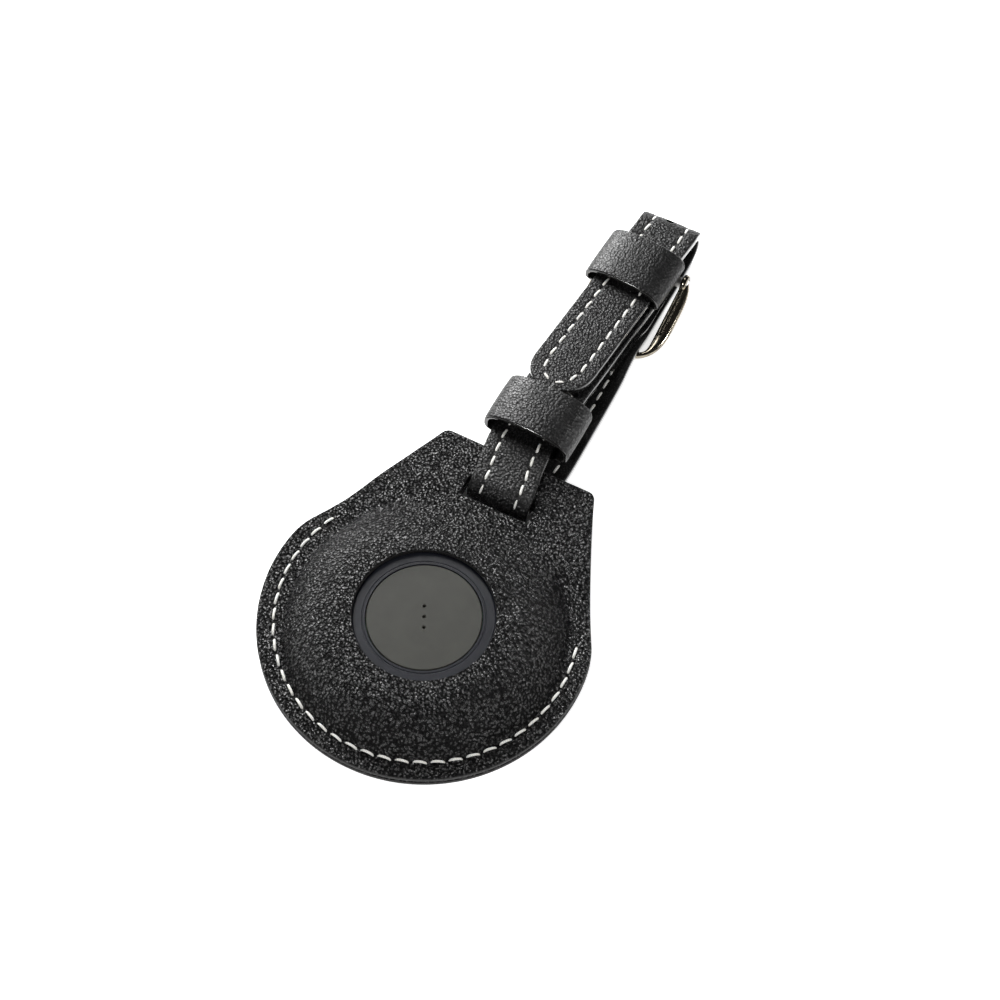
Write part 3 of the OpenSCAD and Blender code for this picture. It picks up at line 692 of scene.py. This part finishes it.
def strap_layer(name, s0, s1, inner, outer, skin, node, seed):
    """One layer of the strap as a sweep of a crowned section with rounded edges and two pressed stitch lines."""
    s = STRAP.s[(STRAP.s >= s0) & (STRAP.s <= s1)]
    tip = s[-1] + (s1 - s[-1]) * np.linspace(0, 1, 10)[1:] if s1 >= STRAP.length else []
    s = np.concatenate([s[:-1], tip]) if len(tip) else s
    across = np.array([-1, -0.99, -0.96, -0.9, -0.82, -0.7, -0.63, -0.6, -0.571, -0.54, -0.51, -0.44, -0.3, -0.15])
    across = np.concatenate([across, [0], -across[::-1]])
    half = np.minimum(strap_half(s), STRAP_HALF)[:, None]
    x = across[None, :] * half
    from_edge = half - np.abs(x)
    crown = STRAP_CROWN * (1 - across ** 2)[None, :]
    fall = STRAP_EDGE_R * (1 - np.sqrt(1 - (1 - np.clip(from_edge / STRAP_EDGE_R, 0, 1)) ** 2))
    groove = ROW_GROOVE * np.exp(-((np.abs(x) - ROW_X) / ROW_GROOVE_HALF) ** 2)
    groove = groove * smoothstep(4.0, 8.0, STRAP.length - s)[:, None]
    sign = 1 if outer > 0 else -1
    shown = (outer if sign > 0 else inner) + sign * (crown * 0.6 - fall - groove)
    hidden = np.full_like(x, inner if sign > 0 else outer)
    top = STRAP.at(np.repeat(s[:, None], len(across), 1), x, shown)
    low = STRAP.at(np.repeat(s[:, None], len(across), 1), x[:, ::-1], hidden)
    loops = np.concatenate([top, low], 1)
    verts = loops.reshape(-1, 3)
    cols = loops.shape[1]
    verts = verts + np.array([0.0, 0.0, 1.0]) * wobble(verts, 11.0, 0.05, seed)[:, None]
    verts[:, 2] = np.maximum(verts[:, 2], 0.0)
    faces, places = grid_faces(len(s), cols, False, True)
    last = len(across) - 1
    ids = [1 if j in (0, last - 1, last, cols - 1) else 0 for _, j in places]
    first_cap = tuple(range(cols))
    end_cap = tuple(range((len(s) - 1) * cols, len(s) * cols))
    faces += [first_cap[::-1], end_cap]
    ids += [1, 1]
    if sign < 0:
        faces = [f[::-1] for f in faces]
    piece = make_object(name, verts, faces, ids)
    piece.data.materials.append(skin)
    piece.data.materials.append(EDGE_PAINT)
    cut_strap_holes(piece)
    piece.data.set_sharp_from_angle(angle=math.radians(40))
    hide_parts(node)
    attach(piece, "strap")


def stadium(cy, length, r):
    """Outline of a round-ended slot along y, length 0 for a circle."""
    out = []
    for start, y in ((0, cy + length / 2), (180, cy - length / 2)):
        for a in np.radians(np.linspace(start, start + 180, 17)):
            out.append((r * math.cos(a), y + r * math.sin(a)))
    return out


def cut_strap_holes(piece):
    """Cuts the prong's holes and the slot of the flap; the hole in the turn is tilted."""
    upright = lambda x, z0: (lambda u, v, w: (x + u, v, z0 + w))
    tilt = TURN_HOLE_TILT
    turned = lambda u, v, w: (TURN_X - 0.5 + u, TURN_Y + v * math.cos(tilt) + (w + 1) * math.sin(tilt),
                              TURN_Z - v * math.sin(tilt) + (w + 1) * math.cos(tilt))
    cuts = [("hole_back", stadium(87.8, 6.4, 1.1), upright(BAR_X, -1.0), 6.0),
            ("hole_turn", stadium(0, 0, PRONG_HOLE_R), turned, 6.0),
            ("slot_flap", stadium(95.7, 13.0, 1.25), upright(BAR_X, FLAP_SLOT_Z), BAR_Z - 0.3 - FLAP_SLOT_Z)]
    cuts += [("hole_spare", stadium(y, 0, PRONG_HOLE_R), upright(SPARE_HOLE_X, -1.0), 4.0) for y in SPARE_HOLE_YS]
    for cutter in [prism(*cut, EDGE_PAINT) for cut in cuts]:
        apply_cut(piece, cutter)


def make_strap():
    lined_from = STRAP.nearest(98.5, low_z=5.5, near=60)
    strap_layer("strap_outer_leather", 0, STRAP.length, 0.0, OUTER_T, STRAP_LEATHER,
                "strap_leather", 3)
    strap_layer("strap_lining_leather", lined_from, STRAP.length, -INNER_T, -0.02, LINING_LEATHER,
                "strap_lining", 3)


def stitch_row(target, plan, t, up_sign):
    """Stitches along plan, a list of (arc length, x) on the strap's surface at offset t."""
    plan = np.array(plan, float)
    line = STRAP.at(plan[:, 0], plan[:, 1], np.full(len(plan), t))
    run = np.concatenate([[0], np.cumsum(np.linalg.norm(np.diff(line, axis=0), axis=1))])
    count = max(int(run[-1] / STITCH_PITCH), 1)
    pitch = run[-1] / count
    side = 1 if plan[:, 1].mean() > 0 else -1
    for k in range(count):
        ends = []
        for sign in (-1, 1):
            d = (k + 0.5) * pitch + sign * STITCH_LEN / 2
            s = np.interp(d, run, plan[:, 0])
            x = np.interp(d, run, plan[:, 1]) + sign * STITCH_SLANT * side
            ends.append((s, x))
        mid = (ends[0][0] + ends[1][0]) / 2
        up = (STRAP.at(mid, 0.0, 1.0) - STRAP.at(mid, 0.0, 0.0)) * up_sign
        a, b = (STRAP.at(s, x, t) - up * 0.1 for s, x in ends)
        target.add(a, b, up, arch=0.17)


def make_strap_stitches():
    """Two rows on every face that can be seen, meeting round the tongue's tip."""
    fold_end = STRAP.nearest(100.5, low_z=5.5, near=45)
    bend_start = STRAP.nearest(36.5, low_z=6.0) + 4.6
    bend_end = STRAP.nearest(37.5, high_z=3.0)
    turn_start = STRAP.nearest(108.0, high_z=3.0)
    length = STRAP.length
    shown, hidden = Stitches(), Stitches()
    tip_s = np.linspace(0, 1, 24)
    tip = [(length - TIP_ROW_FROM + TIP_ROW_REACH * math.sin(t * math.pi / 2) ** 0.9,
            math.cos(t * math.pi / 2) ** 0.75) for t in tip_s]
    for side in (-1, 1):
        straight = lambda a, b: [(s, side * ROW_X) for s in np.linspace(a, b, 60)]
        stitch_row(shown, straight(fold_end, bend_start), OUTER_T, 1)
        stitch_row(shown, straight(bend_end + 1, turn_start), -INNER_T, -1)
        stitch_row(hidden, straight(bend_end + 1, length - TONGUE_SEWN), OUTER_T, 1)
        stitch_row(hidden, straight(fold_end + 2, bend_start), -INNER_T, -1)
        curve = [(s, side * ROW_X * c) for s, c in tip]
        stitch_row(shown, straight(length - TONGUE_SEWN, length - TIP_ROW_FROM) + curve[1:], OUTER_T, 1)
    shown.finish("strap_seam_front", "strap", "strap_thread")
    hidden.finish("strap_seam_back", "strap")


# ---------------------------------------------------------------- keepers

def band(a, up, down, n_up, n_down, count=120):
    """A closed loop in the plane across the strap: half an ellipse-like curve above and another below."""
    t = np.radians(np.linspace(0, 360, count, endpoint=False) + 0.001)
    c, s = np.cos(t), np.sin(t)
    n = np.where(s >= 0, n_up, n_down)
    reach = np.where(s >= 0, up, down)
    return np.stack([a * np.sign(c) * np.abs(c) ** (2 / n), reach * np.sign(s) * np.abs(s) ** (2 / n)], 1)


def keeper(name, node, body, centre, turn_deg, length, a, up, down, n_in, seed):
    """A leather loop: a band round the strap with rounded, painted edges.

    It is 2 a wide, reaches up and down from its centre, and n_in squares the corners of its opening.
    """
    t = KEEPER_T
    outer = band(a, up, down, 2.6, 3)
    inner = band(a - t, up - t, down - t, 2.8, n_in)
    half = length / 2

    def rounded(start, stop, count, r, end, inside):
        """Stations of one rounded edge, at the end of sign end, on the outer or the inner side."""
        out = []
        for ang in np.radians(np.linspace(start, stop, count)):
            depth = r / t * (1 - math.sin(ang))
            out.append((1 - depth if inside else depth, end * (half - r * (1 - math.cos(ang))), ang < 1.2))
        return out

    def straight(margin, end, count, depth):
        return [(depth, y, False) for y in np.linspace(end * (half - margin), -end * (half - margin), count)]

    stations = rounded(0, 90, 5, KEEPER_EDGE_R, 1, False) + straight(1.2, 1, 16, 0.0)
    stations += rounded(90, 0, 5, KEEPER_EDGE_R, -1, False) + rounded(0, 90, 4, KEEPER_INNER_R, -1, True)
    stations += straight(1.5, -1, 8, 1.0) + rounded(90, 0, 4, KEEPER_INNER_R, 1, True)
    yaw = math.radians(turn_deg)
    verts = []
    for depth, y, _ in stations:
        bulge = 1 + 0.012 * (1 - (2 * y / length) ** 2) * (1 - depth)
        loop = outer * bulge * (1 - depth) + inner * depth
        x, z = loop[:, 0], loop[:, 1]
        verts.append(np.stack([centre[0] + x * math.cos(yaw) - y * math.sin(yaw),
                               centre[1] + x * math.sin(yaw) + y * math.cos(yaw), centre[2] + z], 1))
    verts = np.concatenate(verts)
    verts[:, 2] += wobble(verts, 5.0, 0.07, seed) * smoothstep(centre[2] - 1, centre[2] + 2, verts[:, 2])
    faces, places = grid_faces(len(stations), len(outer), True, True)
    ids = [1 if stations[i][2] and stations[(i + 1) % len(stations)][2] else 0 for i, _ in places]
    piece = make_object(name, verts, faces, ids)
    piece.data.materials.append(KEEPER_LEATHER)
    piece.data.materials.append(EDGE_PAINT)
    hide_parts(node)
    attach(piece, body)


def make_keepers():
    keeper("fixed_keeper_leather", "fixed_keeper", "strap", centre=(1.5, 97.8, 9), turn_deg=-3.7, length=13.4,
           a=9.2, up=3.9, down=1.58, n_in=8, seed=4)
    keeper("sliding_keeper_leather", "sliding_keeper", "slider", centre=(-0.7, 53.1, 7.5), turn_deg=-1.4, length=12.2,
           a=10, up=4.9, down=2.7, n_in=8, seed=5)


# ---------------------------------------------------------------- buckle

def make_buckle():
    """The frame is a broad domed bar bent to a D, ending in two eyes on the buckle bar."""
    t = np.radians(np.linspace(RING_FROM, RING_TO, 110))
    c, s = np.cos(t), np.sin(t)
    n_out = np.where(s >= 0, FAR_POWER, NEAR_POWER)
    reach = np.where(s >= 0, FAR_HALF, NEAR_HALF)
    out_u = FRAME_OUT * np.sign(c) * np.abs(c) ** (2 / n_out)
    out_v = reach * np.sign(s) * np.abs(s) ** (2 / n_out) - FRAME_LEN + NEAR_HALF
    in_u = FRAME_IN * np.sign(c) * np.abs(c) ** (2 / OPENING_POWER)
    in_v = OPENING_HALF * np.sign(s) * np.abs(s) ** (2 / OPENING_POWER) - FRAME_LEN + OPENING_END
    upper = s > 0
    in_u = np.where(upper, FRAME_IN * np.sign(c), in_u)
    in_v = np.where(upper, np.minimum(out_v, EYE_V), in_v)
    out_v = np.minimum(out_v, EYE_V)
    sides = 20
    phi = np.linspace(0, 2 * math.pi, sides, endpoint=False)
    cp, sp = np.cos(phi), np.sin(phi)
    flat = np.sign(cp) * np.abs(cp) ** 0.8
    tall = np.sign(sp) * np.abs(sp) ** 0.85
    tilt = math.radians(FRAME_TILT)
    verts = []
    for k in range(len(t)):
        mid = np.array([(out_u[k] + in_u[k]) / 2, (out_v[k] + in_v[k]) / 2])
        reach_k = np.array([out_u[k] - in_u[k], out_v[k] - in_v[k]]) / 2
        u = mid[0] + reach_k[0] * flat
        v = mid[1] + reach_k[1] * flat
        w = FRAME_T / 2 * tall
        verts.append(np.stack([BAR_X + u, BAR_Y + v * math.cos(tilt) - w * math.sin(tilt),
                               BAR_Z + v * math.sin(tilt) + w * math.cos(tilt)], 1))
    faces, _ = grid_faces(len(t), sides, False, True)
    faces += [tuple(range(sides)), tuple(range((len(t) - 1) * sides, len(t) * sides))[::-1]]
    piece = make_object("buckle_frame_polished", np.concatenate(verts), faces)
    piece.data.materials.append(GUNMETAL)
    corners = [(-NOTCH_HALF, -1.5), (NOTCH_HALF, -1.5), (NOTCH_HALF, 4.0), (-NOTCH_HALF, 4.0)]
    under_rail = lambda u, v, w: (BAR_X + u, NOTCH_Y + v, NOTCH_Z + w)
    apply_cut(piece, prism("notch", corners, under_rail, NOTCH_DEPTH, GUNMETAL))
    piece.data.set_sharp_from_angle(angle=math.radians(45))
    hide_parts("buckle_frame")
    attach(piece, "buckle")
    for side, name in ((-1, "left"), (1, "right")):
        eye = turned_piece("buckle_eye_" + name, [(1.3, 0.0), (1.3, 1.3), (1.75, 1.3), (2.0, 1.18), (2.1, 0.95),
                                                  (2.1, 0.35), (2.0, 0.12), (1.75, 0.0)],
                           BAR_X + side * FRAME_IN, side, GUNMETAL)
        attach(eye, "buckle")
    for side, name in ((-1, "left"), (1, "right")):
        knob = turned_piece("bar_end_" + name, [(0.02, 0.55), (0.6, 0.5), (1.05, 0.25), (1.2, 0.0), (1.2, -0.3),
                                                (0.02, -0.3)],
                            BAR_X + side * BAR_END_X, side, NICKEL)
        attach(knob, "strap")


def turned_piece(name, section, x0, side, material, count=48):
    """A small turned part about the buckle bar: section is (radius, outward distance) points."""
    verts = []
    for r, d in section:
        for k in range(count):
            a = 2 * math.pi * k / count
            verts.append((x0 + side * d, BAR_Y + r * math.cos(a), BAR_Z + r * math.sin(a)))
    faces, _ = grid_faces(len(section), count, True, True)
    piece = make_object(name, verts, faces)
    piece.data.materials.append(material)
    piece.data.set_sharp_from_angle(angle=math.radians(35))
    return piece


# ---------------------------------------------------------------- CAD nodes that keep their shape

def dress_cad_nodes():
    looks = {"front_casing": CASING, "rear_casing": CASING, "battery_cover": CASING, "face_button": FACE,
             "mid_frame": INNER_PLASTIC, "circuit_board": board_green(), "bluetooth_chip": CHIP, "crystal": NICKEL,
             "antenna": CERAMIC, "tact_switch": NICKEL, "piezo_sounder": BRASS, "battery_clip": NICKEL,
             "battery_spring": NICKEL, "coin_cell": STEEL, "seal_ring": RUBBER, "pouch_lining": SUEDE,
             "buckle_bar": NICKEL, "buckle_prong": GUNMETAL}
    for name, material in looks.items():
        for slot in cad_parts[name].material_slots:
            slot.material = material


# ---------------------------------------------------------------- stage, lights and camera

CAMERA_AT = Vector((75.2, -132.6, 323.2)) * MM
CAMERA_TURN = Euler([math.radians(a) for a in (29.70, -1.41, 26.78)])
CAMERA_LENS, SENSOR_WIDTH = 62.9, 36
FLOOR_HALF, FLOOR_Z = 4000.0, -0.02
HORIZON_GLOW = (0.06, 0.3, 0.95, 0.02)  # from and to height, strength at each
LIGHTS_AIM = Vector((0, 40, 0)) * MM


def make_camera():
    data = bpy.data.cameras.new("camera")
    data.lens = CAMERA_LENS
    data.sensor_width = SENSOR_WIDTH
    camera = bpy.data.objects.new("camera", data)
    camera.location = CAMERA_AT
    camera.rotation_euler = CAMERA_TURN
    bpy.context.scene.collection.objects.link(camera)
    bpy.context.scene.camera = camera


def make_stage():
    """A white floor, and a dim sky that brightens towards the horizon, for the low views."""
    corners = [(-1, -1), (1, -1), (1, 1), (-1, 1)]
    floor = make_object("floor", [(FLOOR_HALF * x, FLOOR_HALF * y, FLOOR_Z) for x, y in corners],
                        [(0, 1, 2, 3)], smooth=False)
    floor.data.materials.append(studio_floor())
    world = bpy.data.worlds.new("studio")
    world.use_nodes = True
    tree = world.node_tree
    sky = tree.nodes["Background"]
    sky.inputs[0].default_value = (1, 1, 1, 1)
    direction = tree.nodes.new("ShaderNodeTexCoord")
    height = tree.nodes.new("ShaderNodeSeparateXYZ")
    glow = tree.nodes.new("ShaderNodeMapRange")
    for index, number in enumerate(HORIZON_GLOW):
        glow.inputs[index + 1].default_value = number
    tree.links.new(direction.outputs["Generated"], height.inputs[0])
    tree.links.new(height.outputs["Z"], glow.inputs[0])
    tree.links.new(glow.outputs[0], sky.inputs[1])
    bpy.context.scene.world = world
    bpy.context.scene.view_settings.view_transform = "Standard"


def area_light(name, direction, distance, power, size):
    """A soft round light, its place given as a direction from the object and a distance in millimetres."""
    data = bpy.data.lights.new(name, "AREA")
    data.shape = "DISK"
    data.size = size * MM
    data.energy = power
    light = bpy.data.objects.new(name, data)
    light.location = LIGHTS_AIM + Vector(direction).normalized() * distance * MM
    light.rotation_euler = (LIGHTS_AIM - light.location).to_track_quat("-Z", "Y").to_euler()
    bpy.context.scene.collection.objects.link(light)


def make_lights():
    area_light("key", (-0.62, 0.62, 0.42), distance=700, power=7.0, size=330)
    area_light("sky", (-0.42, 0.5, 0.76), distance=800, power=2.6, size=380)
    area_light("front", (-0.2, -0.62, 0.72), distance=700, power=2.0, size=110)
    area_light("side", (0.72, 0.25, 0.6), distance=700, power=1.7, size=110)


make_camera()
make_stage()
make_lights()
make_pouch()
make_pouch_stitches()
make_strap()
make_strap_stitches()
make_keepers()
make_buckle()
dress_cad_nodes()
